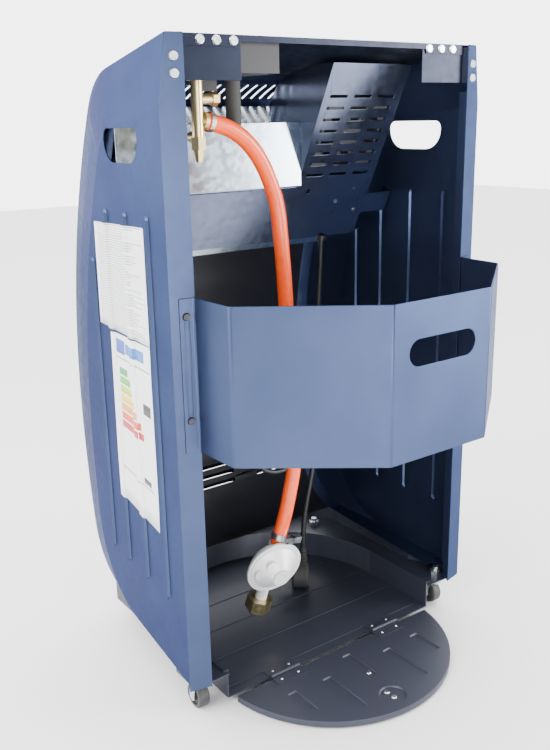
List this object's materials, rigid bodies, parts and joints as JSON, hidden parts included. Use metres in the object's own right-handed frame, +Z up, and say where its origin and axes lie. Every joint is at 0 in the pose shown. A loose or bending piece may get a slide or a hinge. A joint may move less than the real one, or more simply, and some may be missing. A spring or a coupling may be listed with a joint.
{
  "type": "portable gas cabinet heater",
  "caption": "Wheeled sheet-metal cabinet heater with a curved front, ceramic burner, bottle band, hose and regulator at its open back.",
  "frame": {"origin": "centre of the box round the heater without its cords, on the floor under the casters", "axes": "+X to the heater's right as seen from its front, +Y to its open back, +Z up; it stands on Z=0"},
  "size_m": [0.4242, 0.459, 0.7237],
  "materials": {
    "blue_grey_coat": "satin powder coat, faintly hammered",
    "navy_coat": "glossy dark coat of the inside",
    "black_coat": "glossy black enamel",
    "galvanised": "bright galvanised sheet",
    "zinc": "zinc plated",
    "bright_wire": "chromed wire",
    "ceramic": "cream porous ceramic",
    "brass": "turned brass",
    "orange_rubber": "glossy orange gas hose",
    "white_enamel": "silver white enamel on die casting",
    "black_plastic": "moulded black plastic",
    "black_lead": "black flexible lead jacket",
    "grey_tyre": "dark grey caster wheel",
    "red_plastic": "red button cap"
  },
  "bodies": {
    "cabinet": {"band_screws": "zinc", "base_plate": "navy_coat", "bottle_pan": "navy_coat", "burner_brackets": "galvanised", "burner_housing": "galvanised", "caster_nuts": "zinc", "caster_stem_front_left": "zinc", "caster_stem_front_right": "zinc", "caster_stem_rear_left": "zinc", "caster_stem_rear_right": "zinc", "ceramic_plaques": "ceramic", "control_panel": "black_coat", "corner_gussets": "navy_coat", "fan_frame": "black_plastic", "fan_switch": "black_plastic", "front_shell": "blue_grey_coat", "gas_hose": "orange_rubber", "gas_manifold": "brass", "gas_valve": "brass", "guard_bracket": "navy_coat", "guard_screws": "zinc", "heat_shield": "galvanised", "hinge_fixed_leaves": "navy_coat", "hinge_pins": "zinc", "hose_clamps": "zinc", "lead_grommet": "black_lead", "lead_tie": "black_plastic", "lower_front_panel": "black_coat", "mains_lead": "black_lead", "mains_plug": "black_plastic", "piezo_igniter": "black_plastic", "rear_guard": "galvanised", "reflector": "galvanised", "regulator": "white_enamel", "retaining_band": "blue_grey_coat", "rivets": "zinc", "side_panel_left": "blue_grey_coat", "side_panel_right": "blue_grey_coat", "supply_pipe": "zinc", "top_cover": "blue_grey_coat", "wire_guard": "bright_wire"},
    "plate": {"fold_down_plate": "navy_coat", "plate_foot": "black_plastic", "plate_rivets": "zinc", "hinge_moving_leaves": "navy_coat"},
    "spindle": {"valve_spindle": "brass"},
    "knob": {"control_knob": "black_plastic"},
    "button": {"piezo_button": "red_plastic"},
    "rocker": {"fan_switch_rocker": "black_plastic"},
    "fan": {"fan_rotor": "black_plastic"},
    "coupling_nut": {"regulator_nut": "brass"},
    "fork_rear_right": {"caster_fork_rear_right": "zinc"},
    "wheel_rear_right": {"caster_wheel_rear_right": "grey_tyre"},
    "fork_rear_left": {"caster_fork_rear_left": "zinc"},
    "wheel_rear_left": {"caster_wheel_rear_left": "grey_tyre"},
    "fork_front_right": {"caster_fork_front_right": "zinc"},
    "wheel_front_right": {"caster_wheel_front_right": "grey_tyre"},
    "fork_front_left": {"caster_fork_front_left": "zinc"},
    "wheel_front_left": {"caster_wheel_front_left": "grey_tyre"}
  },
  "joints": [
    {"name": "plate_fold", "type": "hinge", "parent": "cabinet", "child": "plate", "pos_m": [0, 0.068, 0.0126], "axis": [1, 0, 0], "range_deg": [0, 90]},
    {"name": "swivel_rear_right", "type": "hinge", "parent": "cabinet", "child": "fork_rear_right", "pos_m": [0.187, 0.0545, 0.033], "axis": [0, 0, 1], "continuous": true},
    {"name": "roll_rear_right", "type": "hinge", "parent": "fork_rear_right", "child": "wheel_rear_right", "pos_m": [0.187, 0.0455, 0.015], "axis": [1, 0, 0], "continuous": true},
    {"name": "swivel_rear_left", "type": "hinge", "parent": "cabinet", "child": "fork_rear_left", "pos_m": [-0.187, 0.0545, 0.033], "axis": [0, 0, 1], "continuous": true},
    {"name": "roll_rear_left", "type": "hinge", "parent": "fork_rear_left", "child": "wheel_rear_left", "pos_m": [-0.187, 0.0455, 0.015], "axis": [1, 0, 0], "continuous": true},
    {"name": "swivel_front_right", "type": "hinge", "parent": "cabinet", "child": "fork_front_right", "pos_m": [0.15, -0.1665, 0.033], "axis": [0, 0, 1], "continuous": true},
    {"name": "roll_front_right", "type": "hinge", "parent": "fork_front_right", "child": "wheel_front_right", "pos_m": [0.15, -0.1755, 0.015], "axis": [1, 0, 0], "continuous": true},
    {"name": "swivel_front_left", "type": "hinge", "parent": "cabinet", "child": "fork_front_left", "pos_m": [-0.15, -0.1665, 0.033], "axis": [0, 0, 1], "continuous": true},
    {"name": "roll_front_left", "type": "hinge", "parent": "fork_front_left", "child": "wheel_front_left", "pos_m": [-0.15, -0.1755, 0.015], "axis": [1, 0, 0], "continuous": true},
    {"name": "knob_push", "type": "slide", "parent": "cabinet", "child": "spindle", "axis": [0, 0, -1], "range_m": [0, 0.005], "stiffness_N_per_m": 600, "springref_m": -0.002},
    {"name": "knob_turn", "type": "hinge", "parent": "spindle", "child": "knob", "pos_m": [0.15, 0.0355, 0.703], "axis": [0, 0, -1], "range_deg": [0, 210]},
    {"name": "button_press", "type": "slide", "parent": "cabinet", "child": "button", "axis": [0, 0, -1], "range_m": [0, 0.006], "stiffness_N_per_m": 800, "springref_m": -0.002},
    {"name": "switch_rock", "type": "hinge", "parent": "cabinet", "child": "rocker", "pos_m": [0.12, 0.0055, 0.6897], "axis": [0, 1, 0], "range_deg": [0, 18]},
    {"name": "fan_spin", "type": "hinge", "parent": "cabinet", "child": "fan", "pos_m": [-0.0963, -0.0352, 0.63151], "axis": [0, -0.8918, 0.4524], "continuous": true},
    {"name": "nut_spin", "type": "hinge", "parent": "cabinet", "child": "coupling_nut", "pos_m": [0.06202, -0.01055, 0.06116], "axis": [0.1135, -0.2838, -0.9521], "continuous": true}
  ]
}
